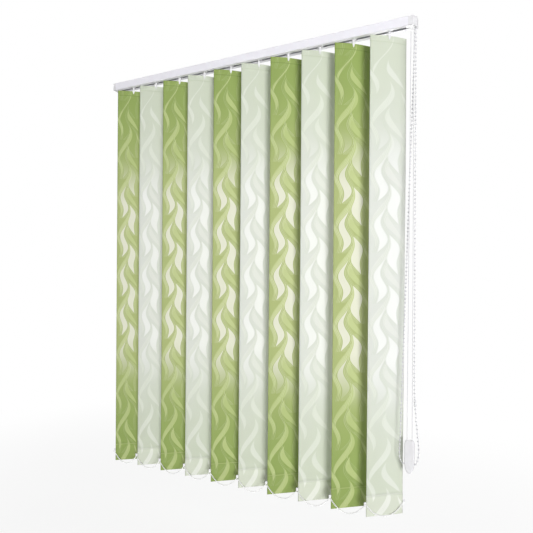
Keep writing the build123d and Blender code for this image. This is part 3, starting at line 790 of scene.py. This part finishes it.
class BLIND_OT_finishes(bpy.types.Operator):
    """Gives the rail, caps, carriers, hooks, weights and rod their finishes"""
    bl_idname = "blind.finishes"
    bl_label = "Finishes"

    def execute(self, context):
        """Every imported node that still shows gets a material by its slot."""
        settings = context.scene.blind_chain
        finishes = {
            "rail_enamel": moulding_material("rail_enamel", settings.enamel, ENAMEL_ROUGHNESS, ENAMEL_CLOUDINESS),
            "white_moulding": moulding_material("white_moulding", settings.white, MOULDING_ROUGHNESS),
            "bright_rod": rod_material(),
            "white_cord": cord_material(settings.strand),
        }
        for entry in frame["record"]["subparts"]:
            node = frame["nodes"][entry["node"]]
            finish = finishes.get(entry["material_slot"])
            if finish is not None and not node.hide_render:
                node.data.materials.clear()
                node.data.materials.append(finish)
        return {"FINISHED"}


# The camera's lens, in pixels of its picture, and where it stands and looks
FOCAL_PX = 500.0
IMAGE_PX = 533.0
SENSOR_MM = 36.0
LENS_RISE_PX = 19.0
CAMERA_YAW = radians(27.187)
CAMERA_PITCH = radians(-0.433)
CAMERA_ROLL = radians(0.494)
CAMERA_PLACE = (0.9370, -1.6140, -0.8352)
# Name, place, target, size and power of each lamp
LAMPS = (
    ("key", (4.36, -5.46, -0.44), (0.0, 0.0, -0.80), 1.98, 460.0),
    ("front_fill", (-1.6, -3.6, 0.4), (0.0, 0.0, -0.8), 2.4, 5.0),
    ("back_fill", (0.5, 2.8, -0.9), (0.0, 0.0, -0.5), 1.4, 64.0),
)
# The floor: how far under the blind, how far it reaches, its grey, its glow, and how it fades to white with distance
FLOOR_DROP = 0.08
FLOOR_REACH = 9.0
FLOOR_GREY = 0.86
FLOOR_ROUGHNESS = 0.8
FLOOR_GLOW = 0.20
FLOOR_FADE = (1.70, 2.6, 0.88, 1.0)
# The sky's strength as light, next to 1 as seen
SKY_LIGHT = 0.13


class BLIND_OT_stage(bpy.types.Operator):
    """Sets the floor, the lamps, the sky and the camera"""
    bl_idname = "blind.stage"
    bl_label = "Stage"

    def execute(self, context):
        """A pale floor under the blind, a soft key from the right, fills in front and behind, and the camera."""
        scene = context.scene
        scene.view_settings.view_transform = "Standard"
        self.floor(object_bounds()[0][2] - FLOOR_DROP)
        for lamp in LAMPS:
            self.lamp(*lamp)
        self.sky(scene)
        self.camera(scene)
        return {"FINISHED"}

    def floor(self, level):
        """A square of pale floor that glows a little, its far parts fading to the white of the sky."""
        reach = FLOOR_REACH
        corners = np.array([(-reach, -reach, level), (reach, -reach, level),
                            (reach, reach, level), (-reach, reach, level)])
        n = Nodes("pale_floor")
        n.shader.inputs["Base Color"].default_value = colour([FLOOR_GREY] * 3)
        n.shader.inputs["Roughness"].default_value = FLOOR_ROUGHNESS
        place = n.node("ShaderNodeTexCoord").outputs["Object"]
        length = n.node("ShaderNodeVectorMath", operation="LENGTH")
        n.put(place, length.inputs[0])
        camera = n.node("ShaderNodeLightPath").outputs["Is Camera Ray"]
        seen = n.ramp(length.outputs["Value"], *FLOOR_FADE)
        share = n.math("ADD", n.math("MULTIPLY", n.math("SUBTRACT", seen, FLOOR_GLOW), camera), FLOOR_GLOW)
        glow = n.node("ShaderNodeEmission")
        mixer = n.node("ShaderNodeMixShader")
        n.put(share, mixer.inputs[0])
        n.put(n.shader.outputs[0], mixer.inputs[1])
        n.put(glow.outputs[0], mixer.inputs[2])
        n.put(mixer.outputs[0], n.tree.nodes["Material Output"].inputs["Surface"])
        add_mesh("floor", corners, np.array([[0, 1, 2, 3]]), n.material)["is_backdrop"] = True

    def lamp(self, name, place, target, size, power):
        """A square area lamp aimed at a point."""
        light = bpy.data.lights.new(name, "AREA")
        light.size = size
        light.energy = power
        lamp = bpy.data.objects.new(name, light)
        lamp.location = place
        lamp.rotation_euler = (Vector(target) - Vector(place)).to_track_quat("-Z", "Y").to_euler()
        bpy.context.scene.collection.objects.link(lamp)

    def sky(self, scene):
        """White to the camera and in reflections, a softer grey as light."""
        world = bpy.data.worlds.new("sky")
        scene.world = world
        world.use_nodes = True
        tree = world.node_tree
        path = tree.nodes.new("ShaderNodeLightPath")
        seen = tree.nodes.new("ShaderNodeMath")
        seen.operation = "MAXIMUM"
        tree.links.new(path.outputs["Is Camera Ray"], seen.inputs[0])
        tree.links.new(path.outputs["Is Glossy Ray"], seen.inputs[1])
        more = tree.nodes.new("ShaderNodeMath")
        more.operation = "MAXIMUM"
        tree.links.new(seen.outputs[0], more.inputs[0])
        tree.links.new(path.outputs["Is Transmission Ray"], more.inputs[1])
        power = tree.nodes.new("ShaderNodeMapRange")
        power.inputs["To Min"].default_value = SKY_LIGHT
        power.inputs["To Max"].default_value = 1.0
        tree.links.new(more.outputs[0], power.inputs["Value"])
        back = tree.nodes["Background"]
        back.inputs["Color"].default_value = (1.0, 1.0, 1.0, 1.0)
        tree.links.new(power.outputs[0], back.inputs["Strength"])

    def camera(self, scene):
        """The camera stands right of the blind's middle, at mid height, turned to the left."""
        yaw, pitch, roll = CAMERA_YAW, CAMERA_PITCH, CAMERA_ROLL
        right = Vector((cos(yaw), sin(yaw), 0.0))
        ahead = Vector((-sin(yaw), cos(yaw), 0.0))
        rise = Vector((0.0, 0.0, 1.0))
        look = ahead * cos(pitch) + rise * sin(pitch)
        upward = rise * cos(pitch) - ahead * sin(pitch)
        right_rolled = right * cos(roll) + upward * sin(roll)
        up_rolled = upward * cos(roll) - right * sin(roll)
        lens = bpy.data.cameras.new("photo_camera")
        lens.sensor_width = SENSOR_MM
        lens.lens = FOCAL_PX / IMAGE_PX * SENSOR_MM
        lens.shift_y = LENS_RISE_PX / IMAGE_PX
        camera = bpy.data.objects.new("photo_camera", lens)
        turn = Matrix((right_rolled, up_rolled, -look)).transposed().to_4x4()
        camera.matrix_world = Matrix.Translation(CAMERA_PLACE) @ turn
        scene.collection.objects.link(camera)
        scene.camera = camera


OPERATORS = (BLIND_OT_stage, BLIND_OT_vanes, BLIND_OT_bottom_chains, BLIND_OT_control_chain, BLIND_OT_cords,
             BLIND_OT_finishes)


class BLIND_PT_panel(bpy.types.Panel):
    """Lists the blind's steps in the sidebar"""
    bl_idname = "BLIND_PT_panel"
    bl_label = "Vertical Blind"
    bl_space_type = "VIEW_3D"
    bl_region_type = "UI"
    bl_category = "Blind"

    def draw(self, context):
        """One button for each step."""
        for operator in OPERATORS:
            self.layout.operator(operator.bl_idname)


CLASSES = (ClothSettings, ChainSettings, *OPERATORS, BLIND_PT_panel)


def register():
    """Adds the settings, steps and panel."""
    for item in CLASSES:
        bpy.utils.register_class(item)
    bpy.types.Scene.blind_cloth = bpy.props.PointerProperty(type=ClothSettings)
    bpy.types.Scene.blind_chain = bpy.props.PointerProperty(type=ChainSettings)


def unregister():
    """Takes them away again."""
    del bpy.types.Scene.blind_chain
    del bpy.types.Scene.blind_cloth
    for item in reversed(CLASSES):
        bpy.utils.unregister_class(item)


def main():
    """Dresses the blind."""
    register()
    bpy.ops.blind.stage()
    bpy.ops.blind.vanes()
    bpy.ops.blind.bottom_chains()
    bpy.ops.blind.control_chain()
    bpy.ops.blind.cords()
    bpy.ops.blind.finishes()


if __name__ == "__main__":
    main()
